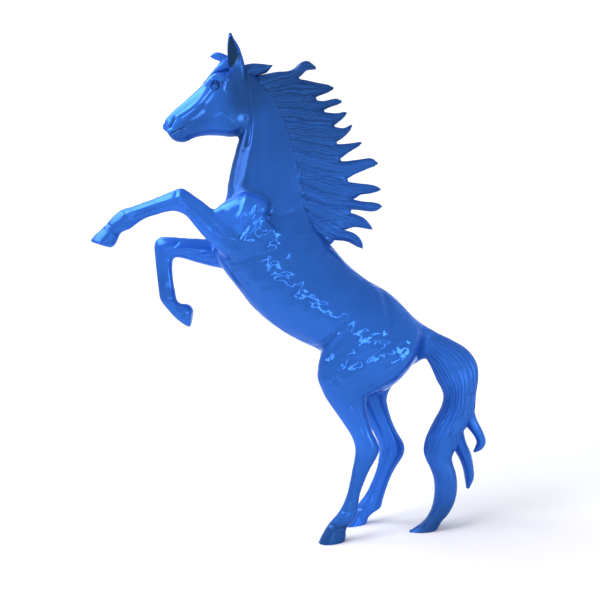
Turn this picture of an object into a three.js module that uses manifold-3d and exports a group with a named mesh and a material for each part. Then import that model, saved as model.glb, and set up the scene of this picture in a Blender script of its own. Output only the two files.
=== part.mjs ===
// A rearing horse, cast as one hollow shell of glossy blue resin. It stands on its two hind
// hooves and the tip of its tail. Millimetres, +Z up, head towards -X, the horse's left
// side towards -Y, origin on the ground under the middle of its bounding box.

import * as THREE from 'three';
import { LoftGeometry } from 'three/addons/geometries/LoftGeometry.js';
import { mergeVertices } from 'three/addons/utils/BufferGeometryUtils.js';
import Module from 'manifold-3d';

const wasm = await Module();
wasm.setup();

// Driving dimension: from the ground to the tips of the ears.
const HEIGHT = 2600;

// The figure's proportions are drawn on squared paper, as an eye sees it from the left.
// Squares count to the right and down, and the figure is this many squares tall.
const SQUARES_TALL = 504.8;
const SQUARE = HEIGHT / SQUARES_TALL;

// Where that eye is, in squares: the square that it looks straight at, its height above the
// ground, its distance from the middle of the horse, and how far the paper leans.
const EYE = { across: 300, down: 300, height: 236, distance: 784 };
const LEAN = THREE.MathUtils.degToRad(6.2);

const RESIN = { color: 0x2d69cd, roughness: 0.16, metalness: 0.0 };

// A point of the drawing, at a depth in squares behind the middle of the horse.
function place(across, down, depth) {
  const right = across - EYE.across;
  const up = EYE.down - down;
  const reach = (EYE.distance + depth) / EYE.distance;
  const x = right * Math.cos(LEAN) + up * Math.sin(LEAN);
  const z = up * Math.cos(LEAN) - right * Math.sin(LEAN);
  return new THREE.Vector3(x * reach, depth, EYE.height + z * reach).multiplyScalar(SQUARE);
}

// A closed geometry as a solid.
function solid(geometry) {
  const bare = new THREE.BufferGeometry();
  bare.setAttribute('position', geometry.getAttribute('position'));
  bare.setIndex(geometry.index);
  const merged = mergeVertices(bare);
  return new wasm.Manifold(new wasm.Mesh({
    numProp: 3,
    vertProperties: new Float32Array(merged.getAttribute('position').array),
    triVerts: new Uint32Array(merged.index.array),
  }));
}

// A limb as a loft. Each rib is a row of numbers: the two ends of its width in the drawing
// (across, down, across, down), its half thickness, and its depth if that isn't the limb's.
// egg makes the first end fuller than the second, full squares off the section, and flutes
// and cut give the number and the depth of the grooves that run along the limb.
function limb(ribs, form = {}) {
  const { sides = 12, depth = 0, egg = 0, full = 1, flutes = 0, cut = 0 } = form;
  const ends = ribs.map((rib) => {
    const [across1, down1, across2, down2, thick, back = depth] = rib;
    return [place(across1, down1, back), place(across2, down2, back), thick * SQUARE];
  });
  const middle = ([a, b]) => a.clone().add(b).multiplyScalar(0.5);
  const reach = ([a, b]) => a.clone().sub(b).multiplyScalar(0.5);
  const onward = middle(ends[1]).sub(middle(ends[0]));
  const turn = Math.sign(reach(ends[0]).cross(new THREE.Vector3(0, 1, 0)).dot(onward));
  const sections = ends.map((end) => {
    const section = [];
    for (let j = 0; j < sides; j += 1) {
      const angle = (j / sides) * 2 * Math.PI * turn;
      const wave = 1 - cut * (0.5 + 0.5 * Math.cos(angle * flutes));
      const along = Math.sign(Math.cos(angle)) * Math.abs(Math.cos(angle)) ** full;
      const side = Math.sign(Math.sin(angle)) * Math.abs(Math.sin(angle)) ** full;
      const point = middle(end).addScaledVector(reach(end), along * wave);
      point.y += side * end[2] * wave * (1 + egg * along);
      section.push(point);
    }
    return section;
  });
  return solid(new LoftGeometry(sections, { capStart: true, capEnd: true }));
}

// A rounded mass: its place in the drawing and its depth, its three half sizes in squares
// along its own length, through the horse and across its length, and how far its length
// tilts up to the right, in degrees.
function mass([across, down, depth], [long, thick, wide], tilt, sides = 10) {
  const ball = new THREE.SphereGeometry(1, sides, sides - 3);
  ball.scale(long * SQUARE, thick * SQUARE, wide * SQUARE);
  ball.rotateY(LEAN - THREE.MathUtils.degToRad(tilt));
  const middle = place(across, down, depth);
  ball.translate(middle.x, middle.y, middle.z);
  return solid(ball);
}

// The same mass on both sides of the horse.
function pair([across, down, depth], sizes, tilt, sides) {
  const near = mass([across, down, -depth], sizes, tilt, sides);
  return near.add(near.mirror([0, 1, 0]));
}

function trunk() {
  return limb([
    [240, 190, 213, 232, 15], [262, 186, 214, 252, 24.5], [290, 196, 222, 268, 29.5],
    [312, 220, 238, 289, 32.5], [330, 243, 256, 311, 34.5], [349, 265, 280, 330, 36],
    [368, 280, 303, 343, 37.5], [384, 289, 320, 351, 39.5], [398, 300, 338, 378, 42],
    [410, 313, 356, 392, 43.5], [420, 323, 380, 392, 40.5], [424, 330, 400, 378, 28],
    [424, 340, 410, 366, 13],
  ], { sides: 22, egg: -0.12 });
}

function neck() {
  return limb([
    [222, 206, 322, 236, 26], [226, 198, 312, 215, 23.5], [228, 180, 306, 192, 19.5],
    [231, 165, 301, 168, 17], [235, 151, 296, 146, 15], [239, 139, 290, 126, 13.5],
    [243, 126, 282, 106, 12.5], [238, 112, 272, 90, 11.5], [232, 96, 258, 76, 11],
    [228, 84, 246, 70, 10],
  ], { sides: 16, egg: 0.1 });
}

function head() {
  return limb([
    [244, 74, 247, 118, 9], [236, 70, 243, 132, 12], [226, 71, 233, 137, 14],
    [216, 73.5, 222, 136, 15], [206, 81.5, 212, 135.5, 13.5], [198, 89, 203, 136, 11],
    [189, 97, 194, 138, 9], [180, 105, 186, 142, 8.3], [172, 112, 177, 142, 9],
    [167.5, 118, 170, 137.5, 8], [166, 123, 167, 132, 5],
  ], { sides: 16, egg: 0.15 });
}

// Cheek plates, brows, eyes, nostril rims and the chin, then the nostrils and the mouth.
function face() {
  return pair([229, 112, 8], [17, 7.5, 21], 10)
    .add(pair([214, 80, 9], [11, 5, 5.5], 30, 8))
    .add(pair([214.5, 84.5, 11.5], [4.3, 3.4, 3.4], 25, 8))
    .add(pair([171, 122, 5.5], [5.5, 4, 6], 60, 8))
    .add(mass([182, 137, 0], [8, 6.5, 5.5], -10, 8));
}

function nostrils() {
  return pair([169.5, 122.5, 10], [3, 2.6, 4.2], 25, 8);
}

// How far the slit of the mouth stays behind the lips, in squares, and the share of its
// width that stays whole inside.
const MOUTH = { set: 1, keep: 0.62 };

function mouth() {
  const corner = [
    [164, 131.5, 164, 133.5, 14], [172, 130, 172, 132.6, 14],
    [184, 127.5, 184, 129.6, 14], [193, 125.2, 193, 126.2, 14],
  ];
  const inside = corner.map(([a, b, c, d, w]) => [a + MOUTH.set, b, c + MOUTH.set, d, w * MOUTH.keep]);
  return limb(corner, { sides: 8 }).subtract(limb(inside, { sides: 8 }));
}

// One ear as a leaf, with the hollow that faces forwards and outwards, and its mirror image.
function ears() {
  const leaf = limb([
    [229.5, 72, 246, 76, 5.5, -8], [228, 62, 245, 66, 5.8, -10], [227.3, 52, 241.8, 54, 5, -12],
    [227.6, 44, 238.5, 45.5, 4, -12], [228.5, 37, 233.5, 38.5, 2.6, -11.5],
    [229.8, 33.4, 230.8, 33.6, 1, -11],
  ], { sides: 10 });
  const hollow = limb([
    [229.5, 66, 238, 67, 3.6, -14], [228.6, 56, 239, 58, 4.4, -16],
    [228.6, 47, 237.5, 48, 3.8, -16.5], [229.2, 39, 232.6, 40, 2, -15],
  ], { sides: 8 });
  const ear = leaf.subtract(hollow);
  return ear.add(ear.mirror([0, 1, 0]));
}

// The forelock that falls over the forehead, the flick that lifts in front of the ears, and
// the tuft behind them.
function forelock() {
  const fall = limb([
    [230, 60, 230, 74, 9], [222, 62.5, 223, 75, 8], [215.5, 68, 217, 76, 7],
    [210, 74, 212, 79.5, 5.5], [206, 79, 207.5, 83, 4], [203.5, 82.5, 204.5, 84, 2],
  ], { sides: 8 });
  const flick = limb([
    [234, 58, 232, 70, 7], [227, 55, 226, 66, 6], [222, 53, 221, 62, 5],
    [217, 52.2, 216, 60, 4.5], [213, 53.3, 212.5, 58.5, 3], [211, 55.5, 211, 57.2, 1.5],
  ], { sides: 8 });
  const tuft = limb([
    [240, 66, 248, 82, 8], [252, 63.5, 258, 76, 7], [262, 64, 264, 74, 6],
    [269, 64.8, 267.5, 72, 4.5], [272, 65, 271, 67.5, 2],
  ], { sides: 8 });
  return fall.add(flick).add(tuft);
}

// The fin of the mane between the crest of the neck and the roots of the free locks.
function maneFin() {
  return limb([
    [280, 72.5, 256, 86, 6], [296, 76, 266, 96, 6.5], [312, 92, 273, 107, 6.5],
    [322, 108, 279, 119, 6.5], [334, 124, 284, 132, 6.5], [337, 142, 289, 148, 6.5],
    [341, 160, 293, 166, 6.7], [348, 180, 296, 184, 7], [354, 198, 298, 202, 7],
    [351, 212, 302, 217, 7], [346, 228, 310, 229, 7], [335, 238, 320, 238, 6],
  ], { sides: 10, egg: -0.42 });
}

// The pointed locks of the mane from top to bottom, each from its root on the neck to its tip.
function maneLocks() {
  const locks = [
    [[256, 76, 262, 96, 7.6], [276, 71.8, 280, 87, 7], [288, 71, 294, 82, 6.5],
      [294, 68.5, 300, 77, 6], [299, 63.5, 304, 72.5, 5.5], [305, 61, 308, 70, 5],
      [311, 63, 311.5, 69.5, 4], [314, 66, 313.5, 68.5, 2]],
    [[261, 88, 267, 98, 8.6], [290, 78.5, 297, 96, 7.2], [305, 80, 314, 98.5, 6],
      [318, 82.5, 319, 95.5, 5.5], [325, 84, 326, 93, 4.5], [331, 86.3, 331, 90, 2]],
    [[268, 97, 271, 108, 9], [300, 97, 305, 110, 7.2], [317, 100.5, 322, 111.5, 5.8],
      [324, 101, 327, 108.5, 5], [332, 99.3, 334, 106.2, 4.3], [339, 99.5, 339.5, 102, 1.7]],
    [[272, 107, 275, 120, 9], [306, 109, 316, 126, 7.2], [328, 112.5, 334, 125.5, 5.8],
      [336, 113.3, 339, 120.5, 4.5], [341, 112.4, 342.5, 118.2, 3.2], [345, 112.2, 345.3, 114.3, 1.5]],
    [[277, 121, 279, 137, 9], [312, 124, 318, 140, 7.2], [335, 126.5, 336, 142, 5.8],
      [342, 128, 342, 138, 4.5], [346.5, 127, 347, 133.8, 3.2], [351, 125.3, 351.2, 127.5, 1.5]],
    [[281, 134, 284, 149, 9], [316, 140, 322, 157, 7.2], [338, 143.5, 338, 160, 5.8],
      [349, 143.3, 349, 152.3, 4.5], [355, 143, 354.5, 149.7, 3.4], [360, 142.6, 359.5, 144.7, 1.5]],
    [[285, 147, 287, 165, 9], [320, 156, 324, 177, 7.4], [343, 160.8, 345, 180, 6],
      [354, 160, 355, 175, 5.5], [364, 158.7, 365, 170.6, 4.7], [371, 158, 372, 166.5, 3.7],
      [375, 160.8, 375, 164, 1.7]],
    [[287, 161, 289, 179, 9], [324, 175, 330, 196, 7.4], [348, 181.5, 354, 199.5, 6],
      [359, 183.2, 360, 195.5, 5.4], [369, 184.4, 370, 194, 4.2], [376, 187, 376, 192.3, 2.8],
      [379, 189, 379, 191, 1.4]],
    [[289, 178, 291, 195, 9], [326, 192, 330, 209, 7.4], [352, 199, 352, 210, 6],
      [362, 201.3, 361, 210.2, 5.4], [372, 203, 371, 211, 4.2], [378, 203.8, 377.5, 210, 2.8],
      [380.2, 206, 380, 208, 1.4]],
    [[291, 192, 295, 208, 9], [325, 203, 326, 222, 7.4], [346, 211, 344, 230, 6],
      [356, 214, 352, 227.7, 5], [364, 218.6, 360, 227.3, 4], [369, 223.2, 367, 228.6, 2.7],
      [371, 226.5, 370.3, 228.6, 1.4]],
    [[297, 203, 306, 221, 9], [324, 216, 322, 234, 7.4], [342, 228, 333, 240, 6],
      [354, 233, 345, 241.3, 5], [359.5, 238, 352.5, 244.2, 3.8], [362, 242, 358, 246.9, 2.6],
      [362.7, 245.5, 361.3, 247.5, 1.4]],
  ];
  return locks.map((ribs) => limb(ribs, { sides: 6, full: 0.85 }));
}

// How far the hooves and the tail are drawn below the ground, which trims them flat.
const TRIM = 3;

function foreleg(ribs, depth) {
  return limb(ribs, { sides: 12, depth });
}

function forelegs() {
  const near = foreleg([
    [243, 196, 285, 240, 12.5], [226, 206, 262, 258, 13.5], [214, 209, 236, 262, 12.5],
    [203, 201, 214, 247, 11], [194, 195, 197, 229, 9.7], [187, 190, 186, 216, 9.1],
    [181, 187.2, 176, 211.3, 9], [172, 190.7, 167, 211.8, 8.2], [160, 195.7, 156, 215, 6.8],
    [145, 201.3, 145, 218.7, 6.2], [131, 206.2, 136, 224.5, 6.3], [121, 209.7, 129, 229.8, 7.8],
    [113, 216, 122, 232, 7.2], [107, 223, 119, 236, 7], [101, 229.3, 117.5, 240, 8.2],
    [95, 234.5, 114.5, 245.5, 9.3], [89.5, 241.5, 110, 248, 10],
  ], -21);
  const far = foreleg([
    [243, 205, 275, 250, 11], [235, 222, 262, 268, 12], [222, 232, 238, 272, 12],
    [210, 238, 214, 267.2, 10.5], [196, 238, 196, 262.5, 9.6], [180, 237.2, 183, 258.6, 8.8],
    [166, 236.3, 174, 257.6, 8.6], [158, 237.5, 172.8, 260, 8.8], [154.2, 243, 172.5, 266, 8.3],
    [154.6, 256, 172.7, 272, 7], [156, 272, 173.6, 281, 6.2], [158, 288, 175.3, 291, 6.3],
    [160.3, 300, 177, 300, 7.8], [166, 308, 181, 303.5, 7.2], [173, 316, 186, 303.5, 7.8],
    [176, 319, 188.5, 304.3, 8.5], [183, 324.3, 191.5, 306, 9.5], [190.5, 328, 193.3, 310, 10],
  ], 21);
  return near.add(far);
}

function hindLegs() {
  const near = limb([
    [345, 300, 415, 335, 15, -20], [328, 338, 413, 362, 20, -20.5], [319, 357, 400, 379, 20.5, -21],
    [316.5, 374, 384, 388, 19, -21.5], [319, 386, 368, 398, 17, -22], [326, 399, 366.5, 408, 14.5, -22.5],
    [335, 412, 369.5, 419, 12.5, -23], [344, 425, 372, 430, 10.7, -23],
    [351.5, 437, 378, 442, 10.4, -23.5], [354.8, 448, 380, 450, 10.2, -23.5],
    [354, 459, 375.5, 460, 8.8, -23.5], [352, 469, 370, 469.5, 7.4, -24],
    [350, 480, 365, 481, 6.6, -24], [347, 493, 360.5, 493, 6.6, -24],
    [343, 504, 358.8, 503, 7.2, -24], [339.5, 510.5, 358, 512, 8.4, -24],
    [335, 516.5, 355, 519.5, 8.2, -24], [330.5, 521.5, 348, 526, 8, -24],
    [327, 526, 346, 529.5, 9, -24], [322, 534.5, 346, 535.5, 10.6, -24],
    [317.5, 541 + TRIM, 344, 541.5 + TRIM, 12.2, -24],
  ]);
  const far = limb([
    [345, 300, 415, 335, 15, 20], [330, 340, 413, 362, 20, 20.5], [322, 360, 400, 379.5, 20.5, 21],
    [330, 378, 392, 387, 18, 22.5], [345, 395, 387, 398, 15.5, 24], [358, 410, 388.5, 408, 13, 25.5],
    [368, 424, 392.5, 421.5, 11.5, 25.7], [375, 436, 398, 433, 10.6, 25.7],
    [379, 447, 404.3, 444, 10.3, 25.7], [378.5, 457, 404, 454, 9.8, 25.7],
    [377, 466, 396, 467, 8, 25.7], [374, 475, 390.5, 478, 6.8, 25.7],
    [370, 484.5, 386.5, 489, 6.5, 25.7], [365.5, 493.5, 383, 500, 7, 25.7],
    [360, 501, 381, 507.5, 8.2, 25.7], [355, 508, 373.5, 512.5, 8, 25.7],
    [350.5, 513, 368.5, 517, 7.8, 25.7], [346.5, 516.5, 367.5, 520, 8.8, 25.7],
    [342, 521, 366, 524, 10.5, 25.7], [338.5, 525.5 + TRIM, 364.5, 526 + TRIM, 12, 25.7],
  ]);
  return near.add(far);
}

// The tail in its main lock, which swings to the horse's left down to the ground, and the
// two that part from it.
function tail() {
  const main = limb([
    [400, 345, 412, 315, 9, 0], [416, 350, 424, 325, 11, 0], [422, 354, 436, 332, 13, 0],
    [428, 362.5, 452, 339.6, 15.5, 0], [432.5, 372, 467, 349, 18.5, 0],
    [437, 382, 476.5, 363, 20.5, -1], [441.5, 390, 477.8, 378, 21, -1.5],
    [443, 398.5, 475.5, 395, 21, -2.5], [440.5, 408, 474.5, 409, 20.5, -4],
    [434, 420, 468, 424, 20, -6], [428, 432, 462, 432, 19.5, -8],
    [424.3, 442, 458, 444, 18.5, -10], [423.5, 452, 452, 456, 17.5, -12],
    [426, 460, 453, 464, 16.5, -13.5], [430, 468, 455.3, 471, 15.5, -15],
    [433.5, 478, 456.8, 480, 15, -16], [434.5, 489, 456.5, 491.5, 14, -17],
    [433.7, 499, 454, 502, 13, -18], [431.5, 508.5, 448.5, 512.5, 12, -19],
    [426.5, 518, 441.5, 520.5, 11, -19.5], [421, 523.5, 436, 529.5, 10, -20],
    [416, 526.8, 427, 533.5 + TRIM, 9, -20],
    [412, 529.5, 415, 533.3 + TRIM, 5.5, -20],
  ], { sides: 18, flutes: 6, cut: 0.12 });
  const second = limb([
    [446, 420, 466, 420, 11, -2], [446, 430, 464, 430, 11, -3], [450, 441, 466, 441, 10, -3],
    [455, 452, 470.5, 452, 9, -2], [459.5, 460, 472.5, 460, 8, -1], [463, 469.5, 473.7, 469, 7, 0],
    [464.8, 479, 473.7, 478, 6, 0.5], [466, 486.5, 470, 486.5, 3, 1],
  ], { sides: 8 });
  const third = limb([
    [452, 398, 474, 398, 12, -4], [455, 408, 474.5, 408, 12, -5], [461, 418, 477, 419, 10.5, -6],
    [467, 427.5, 481, 427, 9, -7.5], [472.5, 434, 484.6, 435.5, 7.5, -8.5],
    [476.5, 441.5, 485.5, 443, 6.3, -9], [475.5, 446, 482, 449, 5, -9.5],
    [474, 449.5, 476.5, 452, 2.5, -10],
  ], { sides: 8 });
  return main.add(second).add(third);
}

// Shoulders, breast and stifles, which stand out of the body.
function muscles() {
  return pair([250, 218, 18], [27, 13, 22], 48)
    .add(pair([232, 216, 9], [13, 11, 15], 60))
    .add(pair([334, 366, 22], [12, 12, 19], 25));
}

// What the ground takes off the soles and the tip of the tail.
function ground() {
  const slab = new THREE.BoxGeometry(2 * HEIGHT, HEIGHT, HEIGHT);
  slab.translate(0, 0, -HEIGHT / 2);
  return solid(slab);
}

function horse() {
  let body = trunk();
  for (const piece of [neck(), head(), face(), forelegs(), hindLegs(), muscles(), tail()]) {
    body = body.add(piece);
  }
  for (const piece of [maneFin(), ...maneLocks(), forelock(), ears()]) {
    body = body.add(piece);
  }
  const cut = body.subtract(nostrils()).subtract(mouth()).subtract(ground());
  const { vertProperties, triVerts } = cut.getMesh();
  const geometry = new THREE.BufferGeometry();
  geometry.setAttribute('position', new THREE.BufferAttribute(vertProperties, 3));
  geometry.setIndex(new THREE.BufferAttribute(triVerts, 1));
  return geometry;
}

const geometry = horse();
geometry.computeBoundingBox();
const middle = geometry.boundingBox.getCenter(new THREE.Vector3());

const figure = new THREE.Mesh(geometry, new THREE.MeshStandardMaterial(RESIN));
figure.name = 'horse';
figure.position.set(-middle.x, -middle.y, -geometry.boundingBox.min.z);

const group = new THREE.Group();
group.add(figure);

export default group;
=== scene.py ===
"""A rearing horse, cast in one piece of glossy blue resin, on a plain pale floor.

The figure stands on its two hind hooves and the tip of its tail. It is modelled as lofted
masses of body and hair, run together as a sculptor runs clay, then carved along its muscles,
folds and features. The sizes come from the loaded frame.
"""

import math

import bmesh
import bpy
import numpy as np
from mathutils import Matrix, Vector


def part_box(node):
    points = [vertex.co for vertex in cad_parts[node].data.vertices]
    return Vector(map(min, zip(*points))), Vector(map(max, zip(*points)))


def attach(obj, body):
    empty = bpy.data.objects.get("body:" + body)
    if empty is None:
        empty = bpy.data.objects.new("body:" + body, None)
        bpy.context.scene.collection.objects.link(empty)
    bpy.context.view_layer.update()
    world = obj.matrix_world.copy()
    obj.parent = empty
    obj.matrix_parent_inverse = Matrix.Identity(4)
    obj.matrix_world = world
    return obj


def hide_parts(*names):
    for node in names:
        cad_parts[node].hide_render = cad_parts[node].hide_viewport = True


bl_info = {
    "name": "Rearing resin horse",
    "version": (1, 0, 0),
    "blender": (4, 5, 0),
    "location": "3D View > Sidebar > Horse",
    "description": "Models and finishes a rearing horse cast in glossy resin",
    "category": "Object",
}

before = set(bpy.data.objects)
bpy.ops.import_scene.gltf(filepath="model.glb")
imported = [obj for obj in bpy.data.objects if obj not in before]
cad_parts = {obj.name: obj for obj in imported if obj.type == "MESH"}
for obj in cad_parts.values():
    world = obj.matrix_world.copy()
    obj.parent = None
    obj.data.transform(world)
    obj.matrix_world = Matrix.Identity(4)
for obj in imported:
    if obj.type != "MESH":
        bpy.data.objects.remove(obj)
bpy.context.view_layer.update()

# The figure is drawn on squared paper, as an eye sees it from its left. Squares count to the
# right and down.
SQUARES_TALL = 504.8
FIGURE_LOW, FIGURE_HIGH = (Vector(corner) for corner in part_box("horse"))
SQUARE = (FIGURE_HIGH.z - FIGURE_LOW.z) / SQUARES_TALL
EYE_ACROSS = 300
EYE_DOWN = 300
EYE_HEIGHT = 236
EYE_DISTANCE = 784
LEAN = math.radians(6.2)
PICTURE_WIDTH = 600

# How far the hooves and the tail are drawn below the ground, which trims them flat.
TRIM = 3


def unshifted(across, down, depth):
    """A point of the drawing at a depth in squares, with the drawing's own origin."""
    right = across - EYE_ACROSS
    up = EYE_DOWN - down
    reach = (EYE_DISTANCE + depth) / EYE_DISTANCE
    x = right * math.cos(LEAN) + up * math.sin(LEAN)
    z = up * math.cos(LEAN) - right * math.sin(LEAN)
    return Vector((x * reach, depth, EYE_HEIGHT + z * reach)) * SQUARE


# The left fore hoof's toe is the foremost point of the figure, which sets the origin.
TOE = unshifted(89.5, 241.5, -21)
SHIFT = Vector((FIGURE_LOW.x - TOE.x, 0, 0))


def place(across, down, depth=0.0):
    """A point of the drawing at a depth in squares behind the middle of the horse."""
    return unshifted(across, down, depth) + SHIFT


# Ribs of the lofted masses: the two ends of a width in the drawing (across, down, across,
# down), the half thickness and, where it isn't the mass's own, the depth of the middle.

TRUNK = [
    (240, 190, 213, 232, 15), (262, 186, 214, 252, 24.5), (290, 196, 222, 268, 29.5),
    (312, 220, 238, 289, 32.5), (330, 243, 256, 311, 34.5), (349, 265, 280, 330, 36),
    (368, 280, 303, 343, 37.5), (384, 289, 320, 351, 39.5), (398, 300, 338, 378, 42),
    (410, 313, 356, 392, 43.5), (420, 323, 380, 392, 40.5), (424, 330, 400, 378, 28),
    (424, 340, 410, 366, 13),
]

NECK = [
    (222, 206, 322, 236, 26), (226, 198, 312, 215, 23.5), (228, 180, 306, 192, 19.5),
    (231, 165, 301, 168, 17), (235, 151, 296, 146, 15), (239, 139, 290, 126, 13.5),
    (243, 126, 282, 106, 12.5), (238, 112, 272, 90, 11.5), (232, 96, 258, 76, 11),
    (228, 84, 246, 70, 10),
]

HEAD = [
    (244, 74, 247, 118, 9), (236, 70, 243, 132, 12), (226, 71, 233, 137, 14),
    (216, 73.5, 222, 136, 15), (206, 81.5, 212, 135.5, 13.5), (198, 89, 203, 136, 11),
    (189, 97, 194, 138, 9), (180, 105, 186, 142, 8.3), (172, 112, 177, 142, 9),
    (167.5, 118, 170, 137.5, 8), (166, 123, 167, 132, 5),
]

NEAR_FORELEG = [
    (243, 196, 285, 240, 12.5), (226, 206, 262, 258, 13.5), (214, 209, 236, 262, 12.5),
    (203, 201, 214, 247, 11), (194, 195, 197, 229, 9.7), (187, 190, 186, 216, 9.1),
    (181, 187.2, 176, 211.3, 9), (172, 190.7, 167, 211.8, 8.2),
    (160, 195.7, 156, 215, 6.8), (145, 201.3, 145, 218.7, 6.2),
    (131, 206.2, 136, 224.5, 6.3), (121, 209.7, 129, 229.8, 7.8),
    (113, 216, 122, 232, 7.2), (107, 223, 119, 236, 7), (101, 229.3, 117.5, 240, 8.2),
    (95, 234.5, 114.5, 245.5, 9.3), (89.5, 241.5, 110, 248, 10),
]

FAR_FORELEG = [
    (243, 205, 275, 250, 11), (235, 222, 262, 268, 12), (222, 232, 238, 272, 12),
    (210, 238, 214, 267.2, 10.5), (196, 238, 196, 262.5, 9.6),
    (180, 237.2, 183, 258.6, 8.8), (166, 236.3, 174, 257.6, 8.6),
    (158, 237.5, 172.8, 260, 8.8), (154.2, 243, 172.5, 266, 8.3),
    (154.6, 256, 172.7, 272, 7), (156, 272, 173.6, 281, 6.2), (158, 288, 175.3, 291, 6.3),
    (160.3, 300, 177, 300, 7.8), (166, 308, 181, 303.5, 7.2), (173, 316, 186, 303.5, 7.8),
    (176, 319, 188.5, 304.3, 8.5), (183, 324.3, 191.5, 306, 9.5),
    (190.5, 328, 193.3, 310, 10),
]

NEAR_HIND_LEG = [
    (345, 300, 415, 335, 15, -20), (328, 338, 413, 362, 20, -20.5),
    (319, 357, 400, 379, 20.5, -21), (316.5, 374, 384, 388, 19, -21.5),
    (319, 386, 368, 398, 17, -22), (326, 399, 366.5, 408, 14.5, -22.5),
    (335, 412, 369.5, 419, 12.5, -23), (344, 425, 372, 430, 10.7, -23),
    (351.5, 437, 378, 442, 10.4, -23.5), (354.8, 448, 380, 450, 10.2, -23.5),
    (354, 459, 375.5, 460, 8.8, -23.5), (352, 469, 370, 469.5, 7.4),
    (350, 480, 365, 481, 6.6), (347, 493, 360.5, 493, 6.6),
    (343, 504, 358.8, 503, 7.2), (339.5, 510.5, 358, 512, 8.4),
    (335, 516.5, 355, 519.5, 8.2), (330.5, 521.5, 348, 526, 8),
    (327, 526, 346, 529.5, 9), (322, 534.5, 346, 535.5, 10.6),
    (317.5, 541 + TRIM, 344, 541.5 + TRIM, 12.2),
]

FAR_HIND_LEG = [
    (345, 300, 415, 335, 15, 20), (330, 340, 413, 362, 20, 20.5),
    (322, 360, 400, 379.5, 20.5, 21), (330, 378, 392, 387, 18, 22.5),
    (345, 395, 387, 398, 15.5, 24), (358, 410, 388.5, 408, 13, 25.5),
    (368, 424, 392.5, 421.5, 11.5), (375, 436, 398, 433, 10.6),
    (379, 447, 404.3, 444, 10.3), (378.5, 457, 404, 454, 9.8),
    (377, 466, 396, 467, 8), (374, 475, 390.5, 478, 6.8),
    (370, 484.5, 386.5, 489, 6.5), (365.5, 493.5, 383, 500, 7),
    (360, 501, 381, 507.5, 8.2), (355, 508, 373.5, 512.5, 8),
    (350.5, 513, 368.5, 517, 7.8), (346.5, 516.5, 367.5, 520, 8.8),
    (342, 521, 366, 524, 10.5), (338.5, 525.5 + TRIM, 364.5, 526 + TRIM, 12),
]

# How deep the middles of the legs are, where their ribs don't say it.
FORELEG_DEPTH = 21
NEAR_HIND_DEPTH = -24
FAR_HIND_DEPTH = 25.7

TAIL = [
    (400, 345, 412, 315, 9, 0), (416, 350, 424, 325, 11, 0), (422, 354, 436, 332, 13, 0),
    (428, 362.5, 452, 339.6, 15.5, 0), (432.5, 372, 467, 349, 18.5, 0),
    (437, 382, 476.5, 363, 20.5, -1), (441.5, 390, 477.8, 378, 21, -1.5),
    (443, 398.5, 475.5, 395, 21, -2.5), (440.5, 408, 474.5, 409, 20.5, -4),
    (434, 420, 468, 424, 20, -6), (428, 432, 462, 432, 19.5, -8),
    (424.3, 442, 458, 444, 18.5, -10), (423.5, 452, 452, 456, 17.5, -12),
    (426, 460, 453, 464, 16.5, -13.5), (430, 468, 455.3, 471, 15.5, -15),
    (433.5, 478, 456.8, 480, 15, -16), (434.5, 489, 456.5, 491.5, 14, -17),
    (433.7, 499, 454, 502, 13, -18), (431.5, 508.5, 448.5, 512.5, 12, -19),
    (426.5, 518, 441.5, 520.5, 11, -19.5), (421, 523.5, 436, 529.5, 10, -20),
    (416, 526.8, 427, 533.5 + TRIM, 9, -20), (412, 529.5, 415, 533.3 + TRIM, 5.5, -20),
]

# Where the croup runs out into the tail.
TAIL_ROOT = [
    (372, 330, 384, 296, 30), (392, 342, 402, 308, 25), (408, 346, 416, 319, 17),
    (420, 351, 433, 329, 13), (428, 361, 449, 340, 12), (434, 372, 463, 351, 10),
]

TAIL_LOCKS = [
    [
        (446, 420, 466, 420, 11, -2), (446, 430, 464, 430, 11, -3),
        (450, 441, 466, 441, 10, -3), (455, 452, 470.5, 452, 9, -2),
        (459.5, 460, 472.5, 460, 8, -1), (463, 469.5, 473.7, 469, 7, 0),
        (464.8, 479, 473.7, 478, 6, 0.5), (466, 486.5, 470, 486.5, 3, 1),
    ],
    [
        (452, 398, 474, 398, 12, -4), (455, 408, 474.5, 408, 12, -5),
        (461, 418, 477, 419, 10.5, -6), (467, 427.5, 481, 427, 9, -7.5),
        (472.5, 434, 484.6, 435.5, 7.5, -8.5), (476.5, 441.5, 485.5, 443, 6.3, -9),
        (475.5, 446, 482, 449, 5, -9.5), (474, 449.5, 476.5, 452, 2.5, -10),
    ],
]

MANE_FIN = [
    (280, 72.5, 256, 86, 7), (296, 76, 266, 96, 7.6), (312, 92, 273, 107, 7.8),
    (322, 108, 279, 119, 8), (334, 124, 284, 132, 8), (337, 142, 289, 148, 8),
    (341, 160, 293, 166, 8), (348, 180, 296, 184, 8.2), (354, 198, 298, 202, 8.2),
    (351, 212, 302, 217, 8.2), (346, 228, 310, 229, 8), (335, 238, 320, 238, 7),
]

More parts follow.
